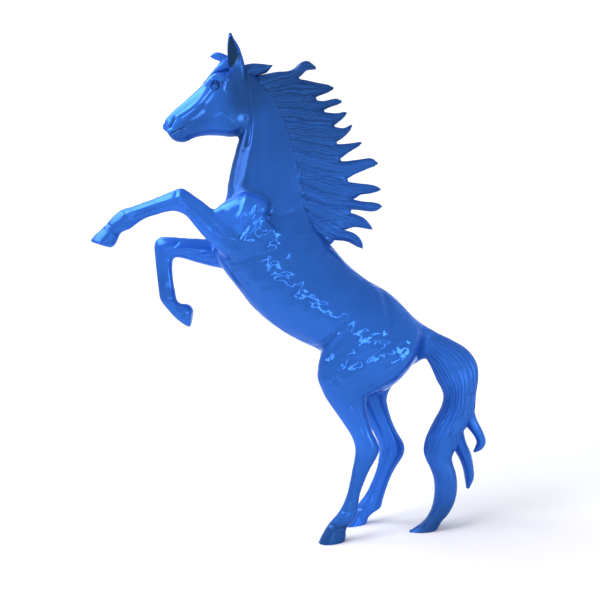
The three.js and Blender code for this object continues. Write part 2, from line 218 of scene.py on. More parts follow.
MANE_LOCKS = [
    [
        (256, 76, 262, 96, 4.5), (276, 71.8, 280, 87, 7), (288, 71, 294, 82, 6.5),
        (294, 68.5, 300, 77, 6), (299, 63.8, 302.5, 75, 6), (304, 61.1, 306, 71, 5.5),
        (309, 61.4, 309, 70, 5), (312.4, 63.8, 311.8, 69.8, 4.2), (314.3, 65.8, 313.8, 69.4, 3.4),
    ],
    [
        (261, 88, 267, 98, 4.5), (290, 78.5, 297, 96, 7.2), (305, 80, 314, 98.5, 6),
        (318, 82.8, 319, 96.3, 5.5), (325, 84.1, 325.6, 93.7, 4.7),
        (329.2, 85.1, 329.6, 91.9, 4), (331.5, 86.6, 331.5, 90.3, 2.9),
    ],
    [
        (268, 97, 271, 108, 4.5), (300, 97, 305, 110, 7.2), (317, 100.5, 322, 111.5, 5.8),
        (324, 101, 327, 108.8, 5), (332, 99.2, 334, 106, 4.5),
        (337, 98.7, 337.8, 104.8, 3.8), (339.8, 100, 340, 103.5, 2.7),
    ],
    [
        (272, 107, 275, 120, 4.5), (306, 109, 316, 126, 7.2), (328, 112.5, 334, 125.5, 5.8),
        (336, 113.3, 338.5, 122.3, 4.7), (341, 112.5, 342.8, 118.8, 3.8),
        (344.3, 111.8, 345.8, 115.6, 3), (346, 112.5, 346.3, 114.2, 1.8),
    ],
    [
        (277, 121, 279, 137, 4.5), (312, 124, 318, 140, 7.2), (335, 126.5, 336, 142, 5.8),
        (342, 128, 343, 138, 4.7), (346.5, 127, 347.7, 133.6, 3.6),
        (349.7, 125.2, 351, 129.3, 2.7), (351.4, 124.8, 351.9, 126.6, 1.7),
    ],
    [
        (281, 134, 284, 149, 4.5), (316, 140, 322, 157, 7.2), (338, 143.5, 338, 160, 5.8),
        (349, 143.2, 350, 151.9, 4.7), (355, 142.6, 355.7, 148.4, 3.8),
        (358.8, 142, 359.4, 146, 3), (360.7, 142.2, 360.7, 144.4, 1.8),
    ],
    [
        (285, 147, 287, 165, 4.5), (320, 156, 324, 177, 7.4), (343, 160.8, 345, 180, 6),
        (354, 159.9, 355, 174.8, 5.5), (364, 158.6, 365, 170.4, 4.9), (370, 158, 371, 167.8, 4.4),
        (374, 159.3, 374.6, 166.5, 3.8), (376, 161.5, 376.1, 164.9, 2.7),
    ],
    [
        (287, 161, 289, 179, 4.5), (324, 175, 330, 196, 7.4), (348, 181.5, 354, 199.5, 6),
        (359, 183.2, 360, 195.5, 5.4), (369, 184.3, 370, 193.9, 4.6),
        (375, 185.6, 375.6, 192.4, 3.9), (378.2, 187, 378.4, 191.4, 3), (379.7, 188.4, 379.7, 190.4, 2),
    ],
    [
        (289, 178, 291, 195, 4.5), (326, 192, 330, 209, 7.4), (352, 199, 352, 210, 6),
        (362, 201.2, 361, 210.8, 5.4), (372, 202.1, 371, 211.8, 4.9),
        (377.6, 203.1, 376.6, 211, 4.2), (380.2, 204.3, 379.7, 209.1, 3.3),
        (381.2, 205.7, 381, 207.5, 2.1),
    ],
    [
        (291, 192, 295, 208, 4.5), (325, 203, 326, 222, 7.4), (346, 211, 344, 230, 6),
        (356, 214.1, 353, 227.6, 5), (364, 217.9, 360.5, 227.9, 4.5),
        (368.4, 222.3, 366, 228.9, 3.7), (370.8, 225.4, 369.3, 229.4, 2.9),
        (372, 227.8, 371, 229.5, 1.8),
    ],
    [
        (297, 203, 306, 221, 4.5), (324, 216, 322, 234, 7.4), (342, 228, 333, 240, 6),
        (354, 232.7, 346, 241.5, 5), (359.6, 237.2, 352.5, 244.4, 4.3),
        (362.2, 242.1, 357, 246.8, 3.5), (363, 245, 359.8, 247.9, 2.7),
        (362.8, 247.2, 361.4, 248.3, 1.8),
    ],
]

FORELOCK = [
    (234, 52, 236, 76, 8), (228, 56, 229, 74, 8.5), (222, 60.2, 224, 74.5, 8.5),
    (216.5, 67, 218, 76, 8), (211.5, 73, 213, 79, 6.8), (207, 78.6, 208.5, 82.5, 5),
    (203.5, 82.7, 204.8, 84.6, 2.4),
]

FLICK = [
    (234, 58, 232, 70, 7), (227, 55, 226, 66, 6), (222, 53, 221, 62, 5),
    (217, 52.2, 216, 60, 4.5), (213, 53.3, 212.5, 58.5, 3), (211, 55.5, 211, 57.2, 1.5),
]

TUFT = [
    (240, 66, 248, 82, 8), (252, 63.5, 258, 76, 7), (262, 64, 264, 74, 6),
    (269, 64.8, 267.5, 72, 4.5), (272, 65, 271, 67.5, 2),
]

EAR = [
    (233, 87, 243, 91, 3, -4.5), (229.5, 74, 246, 78, 5.5, -7.5),
    (228, 62, 245, 66, 5.8, -10), (227.3, 52, 241.8, 54, 5, -12),
    (227.4, 44, 238.5, 45.5, 4, -12), (228, 37, 234, 38.5, 2.8, -11.5),
    (228.8, 33.8, 232, 34.4, 1.6, -11),
]

EAR_HOLLOW = [
    (228, 69, 234, 66, 2.5, -13.5), (224.5, 61, 239.3, 59.5, 4.8, -15.5),
    (224.3, 51, 240, 50, 5, -16.2), (225.8, 43, 236.2, 43.6, 3.8, -15.8),
    (229, 37.4, 232.3, 38, 1.6, -14.2),
]

# Rounded masses that swell the body: across, down, depth; half length, half thickness and
# half width; and how far the length tilts up to the right, in degrees. Each is on both sides,
# but one whose depth is 0 is in the middle.
SWELLS = [
    ((229, 112, 8), (17, 6, 21), 10),
    ((215, 79, 8.5), (11, 5, 5.5), 30),
    ((171, 122, 5), (6, 4, 7), 60),
    ((182, 137, 0), (8, 6.5, 5.5), -10),
    ((250, 218, 18), (27, 13, 22), 48),
    ((232, 216, 9), (13, 11, 15), 60),
    ((334, 366, 22), (12, 12, 19), 25),
]

# The cap of the shoulder over each foreleg, which has a sharp upper ledge.
SHOULDER_CAP = [
    (216, 208, 217, 213, 4, -23), (221, 204, 227, 228, 10, -22), (230, 198.5, 236, 239, 13.5, -22),
    (243, 193, 245, 241, 14.5, -22.5), (252, 194.5, 255, 236, 14, -23),
    (261, 198, 262, 228, 12, -23.5), (268.5, 202.5, 268, 216, 7, -24),
    (271, 205, 270, 208, 3, -24.5),
]


def between(first, last, start, end, now):
    """The row at one time, from the rows at a start and at an end."""
    return (end - now) / (end - start) * first + (now - start) / (end - start) * last


def along_spline(rows, spacing):
    """Rows of numbers, the first six of them two points, with smooth rows between them."""
    rows = np.asarray(rows, float)
    middles = (rows[:, 0:3] + rows[:, 3:6]) / 2
    gaps = np.linalg.norm(np.diff(middles, axis=0), axis=1)
    knots = np.concatenate([[0], np.cumsum(np.sqrt(gaps))])
    padded = np.vstack([2 * rows[0] - rows[1], rows, 2 * rows[-1] - rows[-2]])
    times = np.concatenate([[-knots[1]], knots, [2 * knots[-1] - knots[-2]]])
    fine = []
    for i, gap in enumerate(gaps):
        p0, p1, p2, p3 = padded[i : i + 4]
        t0, t1, t2, t3 = times[i : i + 4]
        count = max(1, round(gap / spacing))
        for t in np.linspace(t1, t2, count, endpoint=False):
            a1 = between(p0, p1, t0, t1, t)
            a2 = between(p1, p2, t1, t2, t)
            a3 = between(p2, p3, t2, t3, t)
            b1 = between(a1, a2, t0, t2, t)
            b2 = between(a2, a3, t1, t3, t)
            fine.append(between(b1, b2, t1, t2, t))
    fine.append(rows[-1])
    return np.array(fine)


def rings_of(
    ribs, sides, spacing, depth=0.0, egg=0.0, full=1.0, grooves=0, cut=0.0, seed=0, tip=True
):
    """The sections of a mass along its ribs, as arrays of points."""
    rows = []
    for a, b, c, d, thick, *rest in ribs:
        back = rest[0] if rest else depth
        rows.append([*place(a, b, back), *place(c, d, back), thick * SQUARE])
    fine = along_spline(rows, spacing * SQUARE)
    angles = np.arange(sides) / sides * 2 * math.pi
    along = np.sign(np.cos(angles)) * np.abs(np.cos(angles)) ** full
    side = np.sign(np.sin(angles)) * np.abs(np.sin(angles)) ** full
    rings = []
    for i, row in enumerate(fine):
        middle = (row[0:3] + row[3:6]) / 2
        arm = (row[0:3] - row[3:6]) / 2
        wave = strand_wave(angles, i / len(fine), grooves, cut, seed)
        points = middle + np.outer(along * wave, arm)
        points[:, 1] += side * row[6] * wave * (1 + egg * along)
        rings.append(points)
    if tip:
        rings += rounded_tip(rings)
    return rings


def strand_wave(angles, share, grooves, cut, seed):
    """How far each point of a section draws in, for strands of uneven width that run along."""
    if not grooves:
        return np.ones_like(angles)
    cut *= 1 - share ** 3
    drift = 0.5 * math.sin(3.1 * share + seed)
    locks = np.cos(5 * angles + seed + 2 * drift)
    wide = np.cos(grooves * (angles + 0.12 * np.sin(2 * angles + seed + drift)) + seed)
    fine = np.cos((2 * grooves + 1) * angles + 1.7 * seed + 2 * drift)
    return 1 - cut * (0.5 - 0.2 * locks - 0.2 * wide - 0.1 * fine)


def pleated(rings, period, cut):
    """Sections drawn in by turns, so that strands run across the mass instead of along it."""
    for i, ring in enumerate(rings):
        middle = ring[:, 1].mean()
        wide = math.cos(i / period * 2 * math.pi + 1.5 * math.sin(i / period * 0.7))
        fine = math.cos(i / period * 4.7 * math.pi)
        locks = math.cos(i / period * 0.43 * math.pi)
        draw_in = cut * (0.5 - 0.2 * (wide + locks) - 0.1 * fine)
        ring[:, 1] = middle + (ring[:, 1] - middle) * (1 - draw_in)
    return rings


def rounded_tip(rings):
    """Further sections that close a mass with a round end."""
    last = rings[-1]
    middle = last.mean(axis=0)
    onward = middle - rings[-2].mean(axis=0)
    onward /= np.linalg.norm(onward)
    radius = np.sort(np.linalg.norm(last - middle, axis=1))[len(last) // 4]
    return [
        middle + (last - middle) * math.cos(turn) + onward * radius * math.sin(turn)
        for turn in (math.radians(angle) for angle in (25, 48, 68, 83))
    ]


def add_shell(bm, rings):
    """A closed tube of a bmesh through the rings."""
    sides, count = len(rings[0]), len(rings)
    made = bmesh.ops.create_grid(bm, x_segments=sides, y_segments=count - 1, size=1)["verts"]
    for row, ring in enumerate(rings):
        for column in range(sides + 1):
            made[row * (sides + 1) + column].co = ring[column % sides]
    bmesh.ops.remove_doubles(bm, verts=made, dist=1e-7)
    made = [vert for vert in made if vert.is_valid]
    rims = [edge for edge in {e for v in made for e in v.link_edges} if edge.is_boundary]
    bmesh.ops.holes_fill(bm, edges=rims, sides=0)
    faces = list({face for vert in made for face in vert.link_faces})
    bmesh.ops.recalc_face_normals(bm, faces=faces)


def add_swell(bm, centre, sizes, tilt):
    """A rounded mass on each side of the horse, or one in its middle."""
    across, down, depth = centre
    for side in (-1, 1) if depth else (1,):
        middle = place(across, down, -abs(depth))
        middle.y *= -side if depth else 1
        turn = Matrix.Rotation(LEAN - math.radians(tilt), 4, "Y")
        scale = Matrix.Diagonal((*(size * SQUARE for size in sizes), 1))
        bmesh.ops.create_uvsphere(
            bm,
            u_segments=28,
            v_segments=18,
            radius=1,
            matrix=Matrix.Translation(middle) @ turn @ scale,
        )


# Lines in the drawing where the hair runs into the body, and how far each is smoothed.
SEAMS = [
    ([(252, 82), (262, 93), (272, 106), (282, 126), (288, 146), (294, 168), (299, 190), (303, 212),
      (312, 229), (322, 240)], 6, 18),
    ([(426, 326), (425, 340), (421, 354)], 8, 16),
    ([(229, 76), (237, 76.5), (246, 75)], 3.2, 6),
]

# Most triangles that the body's skin keeps.
BODY_TRIANGLES = 108000


def object_from(bm, name):
    """A new object of the scene with a bmesh's faces, which frees the bmesh."""
    mesh = bpy.data.meshes.new(name)
    bm.to_mesh(mesh)
    bm.free()
    made = bpy.data.objects.new(name, mesh)
    bpy.context.scene.collection.objects.link(made)
    return made


def apply_modifiers(piece):
    """Replaces a piece's mesh with the one that its modifiers give."""
    bpy.context.view_layer.update()
    seen = piece.evaluated_get(bpy.context.evaluated_depsgraph_get())
    mesh = bpy.data.meshes.new_from_object(seen)
    piece.modifiers.clear()
    old = piece.data
    piece.data = mesh
    bpy.data.meshes.remove(old)


def combine(piece, other, operation):
    """Joins or cuts a piece with another solid, which is used up."""
    modifier = piece.modifiers.new("Combine", "BOOLEAN")
    modifier.operation = operation
    modifier.solver = "MANIFOLD"
    modifier.object = other
    apply_modifiers(piece)
    mesh = other.data
    bpy.data.objects.remove(other)
    bpy.data.meshes.remove(mesh)


def shell_object(name, ribs, **form):
    """One lofted mass as an object of its own."""
    bm = bmesh.new()
    add_shell(bm, rings_of(ribs, **form))
    return object_from(bm, name)


def mirrored(piece, name):
    """A copy of a piece on the other side of the horse."""
    bm = bmesh.new()
    bm.from_mesh(piece.data)
    bmesh.ops.scale(bm, vec=(1, -1, 1), verts=bm.verts)
    bmesh.ops.reverse_faces(bm, faces=bm.faces)
    return object_from(bm, name)


def smoothed(low, high, value):
    """Runs from 0 to 1 as a value goes from low to high, with soft ends."""
    share = np.clip((value - low) / (high - low), 0, 1)
    return share * share * (3 - 2 * share)


def vectors_of(mesh, name):
    """The places or the normals of a mesh's points, as an array."""
    found = np.empty(len(mesh.vertices) * 3)
    mesh.vertices.foreach_get(name, found)
    return found.reshape(-1, 3)


def drawn(points):
    """Where points of the model are in the drawing: across and down, in squares."""
    reach = (EYE_DISTANCE + points[:, 1] / SQUARE) / EYE_DISTANCE
    x = (points[:, 0] - SHIFT.x) / SQUARE / reach
    z = (points[:, 2] / SQUARE - EYE_HEIGHT) / reach
    across = EYE_ACROSS + x * math.cos(LEAN) - z * math.sin(LEAN)
    down = EYE_DOWN - x * math.sin(LEAN) - z * math.cos(LEAN)
    return across, down


def distance_to(points, line):
    """The distance of points from a line of corners, both as they lie from the side."""
    best = np.full(len(points), np.inf)
    for a, b in zip(line[:-1], line[1:]):
        edge = b - a
        share = np.clip(((points - a) @ edge) / max(edge @ edge, 1e-12), 0, 1)
        best = np.minimum(best, np.linalg.norm(points - a - share[:, None] * edge, axis=1))
    return best


# Strokes of the modelling tool on the sides of the body. Each has its corners in the drawing,
# how far it raises or cuts the surface, how wide it is, and the half thickness of the body
# there, all in squares. A last word says that only one side of the horse has it.
BODY_STROKES = [
    # The folds that part the lobes of the shoulder cap.
    ([(247, 196), (244, 208), (239, 224)], 1.3, 2.6, 34),
    ([(257, 207), (252, 217), (246, 227), (240, 236)], -1.9, 2.3, 34),
    ([(258, 212), (264, 213), (270, 214)], -1.5, 1.8, 34),
    ([(262, 215), (257, 224), (250, 233)], 1.0, 2.6, 34),
    ([(222, 214), (231, 226), (238, 238)], -0.8, 3, 34),
    ([(272, 219), (284, 216), (296, 210)], -0.8, 2.4, 26),
    ([(214, 236), (226, 243), (240, 246)], -0.7, 3, 30),
    ([(229, 262), (240, 261), (252, 257), (264, 253.5), (275, 250)], -1.0, 1.5, 28),
    ([(278, 250), (288, 238), (292, 226)], -0.5, 4, 30),
    # Muscles of the neck.
    ([(246, 76), (248.5, 90), (249.5, 104), (249.8, 120), (249.5, 134), (247, 146)],
     -1.9, 1.7, 12),
    ([(251, 92), (252.8, 110), (252.8, 128), (251, 146), (248, 164), (244, 182)],
     0.7, 1.6, 14),
    ([(243, 152), (240.5, 168), (237, 186)], -0.5, 1.6, 14),
    ([(246, 73), (251, 78), (257, 84.5), (262, 91)], 1.3, 1.7, 12),
    ([(257, 96), (260, 116), (262, 138), (262, 160), (258, 182)], -1.1, 2.8, 14),
    ([(271, 130), (275, 150), (278, 172), (276, 192)], -0.7, 2.4, 16),
    ([(281, 140), (286, 158), (290, 178), (292, 200)], -0.8, 2.6, 16),
    ([(266, 108), (270, 138), (271, 164)], 0.8, 3.6, 15),
    # Breast and belly.
    ([(214, 231), (226, 226), (238, 214)], -0.6, 3, 16),
    ([(244, 276), (262, 300), (288, 322), (310, 336)], -0.6, 2.4, 22),
    ([(290, 322), (302, 331), (314, 338)], 0.9, 3, 20),
    # Flank, stifle and thigh.
    ([(318, 349), (326, 342), (334, 335), (341, 327), (345, 318)], -2.2, 2.2, 34),
    ([(326, 350), (333, 343), (339, 335)], 1.2, 1.8, 34),
    ([(328, 358), (334, 350), (340, 341), (345, 332)], -1.4, 1.8, 34),
    ([(347, 316), (351, 302), (358, 288)], -0.8, 3.4, 38),
    ([(386, 291), (389, 306), (391, 320), (388, 336)], -1.1, 2.6, 38),
    ([(375, 288), (380, 304), (380, 322)], 0.8, 4, 40),
    ([(352, 352), (366, 340), (384, 330)], 0.8, 6, 40),
    ([(350, 366), (364, 360), (380, 350), (396, 338)], -0.8, 3, 40),
    ([(346, 388), (358, 381), (374, 371), (392, 360), (406, 352)], -0.9, 2.6, 38),
    ([(350, 396), (364, 391), (382, 381), (398, 368)], -0.7, 1.8, 36),
    ([(326, 366), (336, 378), (346, 392), (352, 404)], -0.9, 2.6, 32),
    # Sinews and joints of the hind legs.
    ([(352, 404), (358, 418), (364, 432), (368, 444)], -1.2, 1.6, 34, "left"),
    ([(345, 404), (350, 420), (356, 434)], 0.8, 2.6, 34, "left"),
    ([(358, 440), (357, 452), (358, 466)], 0.9, 2.0, 33, "left"),
    ([(369, 446), (366, 460), (362, 478), (357, 496)], -1.1, 1.2, 31, "left"),
    ([(341, 511), (350, 512.5), (358, 513.5)], -0.5, 1.6, 31, "left"),
    ([(328, 524.6), (336, 526.3), (346, 528)], -0.9, 1.2, 31, "left"),
    ([(326, 527.8), (336, 529.4), (346, 531)], 0.7, 0.9, 31, "left"),
    ([(374, 396), (379, 410), (386, 426), (392, 442)], -1.1, 1.6, 16, "right"),
    ([(394, 448), (388, 464), (380, 482)], -1.1, 1.1, 18, "right"),
    ([(384, 440), (388, 450), (386, 460)], 0.8, 1.8, 16, "right"),
    ([(346, 516), (356, 518), (366, 519)], -0.9, 1.1, 18, "right"),
    # Forelegs: forearm, knee, tendons, pastern and hoof.
    ([(190, 203), (202, 212), (214, 224), (222, 234)], -1.0, 2.0, 31, "left"),
    ([(196, 198), (208, 206), (219, 214)], 0.7, 2.4, 31, "left"),
    ([(124, 214.5), (138, 209.5), (154, 204), (170, 199), (180, 197)], 0.8, 1.7, 30, "left"),
    ([(168, 246), (184, 246.5), (200, 247), (216, 249)], 0.8, 1.9, 31, "right"),
    ([(176, 190), (175, 199), (172, 208)], -0.5, 1.8, 30, "left"),
    ([(186, 191), (187, 203), (184, 213)], -0.4, 2.0, 30, "left"),
    ([(181, 194), (180, 203)], 0.7, 2, 30, "left"),
    ([(170, 204), (156, 207.5), (144, 212), (134, 218)], -1.0, 1.2, 28, "left"),
    ([(124, 212), (129, 220), (128, 229)], -0.4, 1.6, 28, "left"),
    ([(106.5, 223.5), (112, 229.5), (118, 236)], -0.7, 1.2, 29, "left"),
    ([(104, 225.6), (109.5, 232), (116.5, 238.4)], 0.6, 1.1, 29, "left"),
    ([(206, 248), (192, 249), (178, 247)], -0.8, 1.8, 32, "right"),
    ([(170, 240), (163, 247), (160, 256)], -0.6, 1.8, 30, "right"),
    ([(168, 262), (168, 276), (170, 292)], -0.9, 1.2, 30, "right"),
    ([(162, 300), (169, 299), (176, 297)], -0.6, 1.4, 30, "right"),
    ([(174.5, 317), (182, 310.5), (188, 303.5)], -0.7, 1.2, 30, "right"),
    ([(177, 320), (184, 313), (190, 306)], 0.6, 0.9, 30, "right"),
    # Long planes of the face, the cheek and the poll.
    ([(208.5, 83), (205.5, 90), (200.5, 98), (195.5, 103.5), (187, 109.5), (178, 115)],
     1.2, 1.6, 12),
    ([(209.5, 89), (206, 94.5), (201, 101), (196, 105.8), (188, 111.3), (180, 116)],
     -0.6, 1.3, 12),
    ([(213.5, 88.5), (208.5, 94.5), (203.5, 100), (198, 105), (190, 111.5), (183, 116.5)],
     0.7, 1.7, 12),
    ([(217, 93), (212, 101), (206, 107)], 0.6, 3, 12),
    ([(204, 108), (196, 114.5), (186, 120)], -0.8, 3, 10),
    ([(228, 71), (226.8, 80), (225.6, 91)], 1.0, 1.5, 13),
    ([(213, 80), (221, 78.2), (229, 77.5)], 1.4, 1.9, 14),
    ([(221.5, 83)], -1.5, 3.4, 14),
    ([(234, 104), (237, 116), (234, 128)], 0.7, 2.6, 14),
    ([(222, 112), (228, 118)], 0.6, 2.2, 14),
    ([(216, 106), (220, 98)], 0.5, 2, 14),
    ([(204.5, 114)], 0.4, 1.5, 12),
    ([(187, 139.5), (188.5, 136)], -0.7, 1.8, 8),
]

FINE_STROKES = [
    # Brow, socket, lids and ball of the eye.
    ([(206.5, 83.5), (209.5, 79.5), (213.5, 76.6), (218, 75.4), (223, 75)], 1.1, 1.7, 14),
    ([(210.8, 84.6), (212.6, 81.6), (216, 80.6), (218.8, 83), (218, 86.6), (215.4, 88.4)],
     -1.1, 1.25, 15),
    ([(210.4, 86.4), (212.4, 88.4)], -0.8, 1, 15),
    ([(213.4, 85.3), (215.2, 84.4)], 1.2, 1.8, 15),
    ([(209.6, 84.4), (211.6, 80.4), (215.6, 78.6), (219.8, 80.6), (221, 84)], 0.8, 0.9, 15),
    ([(212, 90.4), (216, 90.8), (219.6, 88.6)], 0.6, 1.0, 15),
    # Nostril and mouth.
    ([(174.2, 118), (173, 121), (171.4, 124.2), (169.8, 126.4)], -1.2, 1.2, 9),
    ([(171.2, 119.6), (169.2, 123.4), (167.4, 126.2)], 0.8, 1.0, 9),
    ([(172.6, 116.6), (176.2, 117.4), (176.4, 121.6)], 0.6, 1.1, 9),
    ([(168.6, 131), (171, 130.6), (173.6, 130)], 0.8, 1.4, 8),
    ([(166.8, 134.6), (170.5, 133.4), (174.5, 131.8), (179, 129.2), (184, 127.2)],
     -0.8, 0.85, 8),
    ([(170, 136), (176, 133.4), (182, 131)], 0.6, 1.3, 8),
    ([(188.5, 128.4), (193, 127.2), (198, 125.2)], 0.5, 0.95, 9),
]

# Strokes fade out where the surface turns away from the side, between these shares of a normal.
FACING = (0.15, 0.6)


def carve(mesh, strokes):
    """Raises and cuts the surface along the strokes."""
    points = vectors_of(mesh, "co")
    normals = vectors_of(mesh, "normal")
    facing = smoothed(*FACING, np.abs(normals[:, 1]))
    flat = points[:, (0, 2)]
    move = np.zeros(len(points))
    for corners, height, width, thick, *side in strokes:
        line = np.array([place(a, b, -thick)[:] for a, b in corners])[:, (0, 2)]
        if len(line) == 1:
            line = np.vstack([line, line])
        near = distance_to(flat, line) / (width * SQUARE)
        amount = height * SQUARE * np.exp(-near * near) * facing
        if side:
            amount *= points[:, 1] < 0 if side[0] == "left" else points[:, 1] > 0
        move += amount
    points += normals * move[:, None]
    mesh.vertices.foreach_set("co", points.reshape(-1))
    mesh.update()


def smooth_where(bm, test, times):
    """Smooths the vertices that pass a test."""
    verts = [vert for vert in bm.verts if test(vert)]
    for _ in range(times):
        bmesh.ops.smooth_vert(
            bm, verts=verts, factor=0.5, use_axis_x=True, use_axis_y=True, use_axis_z=True
        )


def body_object(grain):
    """Trunk, neck, head and legs, run together into one skin."""
    bm = bmesh.new()
    add_shell(bm, rings_of(TRUNK, sides=64, spacing=3, egg=-0.12))
    add_shell(bm, rings_of(NECK, sides=48, spacing=3, egg=0.1))
    add_shell(bm, rings_of(HEAD, sides=48, spacing=2, egg=-0.12, full=0.85))
    legs = [
        (NEAR_FORELEG, -FORELEG_DEPTH, -0.3),
        (FAR_FORELEG, FORELEG_DEPTH, -0.3),
        (NEAR_HIND_LEG, NEAR_HIND_DEPTH, 0),
        (FAR_HIND_LEG, FAR_HIND_DEPTH, 0),
    ]
    for ribs, depth, egg in legs:
        add_shell(bm, rings_of(ribs, sides=32, spacing=2, depth=depth, egg=egg, tip=False))
    root = [(*rib[:4], rib[4] * 0.9, 0) for rib in TAIL_ROOT]
    add_shell(bm, rings_of(root, sides=32, spacing=3))
    cap = rings_of(SHOULDER_CAP, sides=32, spacing=2)
    for side in (1, -1):
        add_shell(bm, [ring * (1, side, 1) for ring in cap])
    for swell in SWELLS:
        add_swell(bm, *swell)
    body = object_from(bm, "body")
    remesh = body.modifiers.new("Skin", "REMESH")
    remesh.mode = "VOXEL"
    remesh.voxel_size = grain
    apply_modifiers(body)
    return body


def thin_out(piece, triangles):
    """Brings a piece down to a number of triangles, most of them off its plain parts."""
    piece.data.calc_loop_triangles()
    now = len(piece.data.loop_triangles)
    if now > triangles:
        modifier = piece.modifiers.new("Thin out", "DECIMATE")
        modifier.ratio = triangles / now
        apply_modifiers(piece)


# The far edge of the drawing, and boxes in it, with their left, right, top and bottom.
END = 600
HEAD_BOX = (0, 246, 50, 150)
MUZZLE_BOX = (0, 200, 108, 146)
CAP_BOX = (214, 276, 184, 244)
LEG_BOXES = [(0, END, 395, END), (0, 215, 180, END)]
HOOF_BOXES = [(0, END, 515, END), (0, 125, 205, END), (0, 200, 298, END)]
DETAIL_BOXES = [(212, 276, 186, 242), (0, 400, 496, END), (0, 190, 184, END)]

# The middle of the eye, and how far its fine faces reach.
EYE_MIDDLE = (214.5, 84)
EYE_REACH = 14

# How many times the skin is smoothed: all over, where the big masses merge, and on the head
# and the limbs.
SMOOTH_ALL = 2
SMOOTH_MASSES = 22
SMOOTH_LIMBS = 3


def in_boxes(across, down, boxes):
    """Whether points lie in one of the boxes."""
    found = np.zeros(len(across), bool)
    for left, right, top, bottom in boxes:
        found |= (across > left) & (across < right) & (down > top) & (down < bottom)
    return found


def in_head(across, down):
    """The head without its ears."""
    return in_boxes(across, down, [HEAD_BOX])


def in_detail(across, down):
    """Shoulder caps, lower legs and hooves."""
    return in_boxes(across, down, DETAIL_BOXES)


def face_detail(across, down):
    """Eyes and muzzle."""
    eye = np.hypot(across - EYE_MIDDLE[0], down - EYE_MIDDLE[1]) < EYE_REACH
    return eye | in_boxes(across, down, [MUZZLE_BOX])


def refine(bm, test):
    """Divides the faces whose corners all pass a test of their place in the drawing."""
    bm.verts.ensure_lookup_table()
    points = np.array([vert.co[:] for vert in bm.verts])
    inside = test(*drawn(points))
    edges = [
        edge for edge in bm.edges
        if inside[edge.verts[0].index] and inside[edge.verts[1].index]
    ]
    bmesh.ops.subdivide_edges(bm, edges=edges, cuts=1, use_grid_fill=True, smooth=0)
    bmesh.ops.triangulate(bm, faces=[face for face in bm.faces if len(face.verts) > 4])
    bm.verts.index_update()


def model_body(grain):
    """The body's skin, smoothed where masses meet and carved along its features."""
    body = body_object(grain)
    bm = bmesh.new()
    bm.from_mesh(body.data)
    points = np.array([vert.co[:] for vert in bm.verts])
    across, down = drawn(points)
    thin = in_boxes(across, down, [HEAD_BOX, CAP_BOX, *LEG_BOXES])
    soft = thin & ~in_boxes(across, down, HOOF_BOXES)
    smooth_where(bm, lambda vert: True, SMOOTH_ALL)
    smooth_where(bm, lambda vert: not thin[vert.index], SMOOTH_MASSES)
    smooth_where(bm, lambda vert: soft[vert.index], SMOOTH_LIMBS)
    refine(bm, in_head)
    refine(bm, in_detail)
    jaw = place(0, HEAD_BOX[3]).z
    smooth_where(bm, lambda vert: vert.co.z > jaw, SMOOTH_LIMBS)
    refine(bm, face_detail)
    bm.to_mesh(body.data)
    bm.free()
    body.data.update()
    carve(body.data, BODY_STROKES)
    bm = bmesh.new()
    bm.from_mesh(body.data)
    smooth_where(bm, lambda vert: True, 1)
    bm.to_mesh(body.data)
    bm.free()
    carve(body.data, FINE_STROKES)
    thin_out(body, BODY_TRIANGLES)
    return body


def model_hair():
    """Mane, forelock, tuft and tail, each lock cut with strands that run along it."""
    sheet = bmesh.new()
    add_shell(sheet, pleated(rings_of(MANE_FIN, sides=40, spacing=0.7, egg=-0.3, full=0.7), 5, 0.08))
    hair = object_from(sheet, "hair")
    for number, ribs in enumerate(MANE_LOCKS):
        lock = shell_object(
            "lock", ribs, sides=48, spacing=2.6, full=0.85, grooves=9, cut=0.2, seed=number
        )
        combine(hair, lock, "UNION")
    for ribs, grooves, seed in ((FORELOCK, 10, 3), (FLICK, 9, 5), (TUFT, 10, 7)):
        strand = shell_object(
            "strand", ribs, sides=48, spacing=2, grooves=grooves, cut=0.14, seed=seed
        )
        combine(hair, strand, "UNION")
    tail = shell_object("tail", TAIL, sides=144, spacing=2.8, grooves=29, cut=0.085, seed=2)
    for number, ribs in enumerate(TAIL_LOCKS):
        lock = shell_object(
            "lock", ribs, sides=48, spacing=2.4, grooves=9, cut=0.09, seed=number + 4
        )
        combine(tail, lock, "UNION")
    combine(hair, tail, "UNION")
    return hair


def model_ears():
    """The left ear, hollowed to the front and the outside, and its mirror image."""
    ear = shell_object("ear", EAR, sides=36, spacing=1.2)
    combine(ear, shell_object("hollow", EAR_HOLLOW, sides=28, spacing=1.2), "DIFFERENCE")
    return ear, mirrored(ear, "ear")


def soften_seams(piece):
    """Smooths the skin along the seams between the body and the hair."""
    bm = bmesh.new()
    bm.from_mesh(piece.data)
    here = np.column_stack(drawn(np.array([vert.co[:] for vert in bm.verts])))
    for corners, reach, times in SEAMS:
        near = distance_to(here, np.array(corners, float)) < reach
        smooth_where(bm, lambda vert: near[vert.index], times)
    bm.to_mesh(piece.data)
    bm.free()
    piece.data.update()


def ground_block():
    """A block below the ground, which trims the soles and the tail flat."""
    bm = bmesh.new()
    size = FIGURE_HIGH.z
    bmesh.ops.create_cube(bm, size=2 * size, matrix=Matrix.Translation((0, 0, -size)))
    return object_from(bm, "ground")


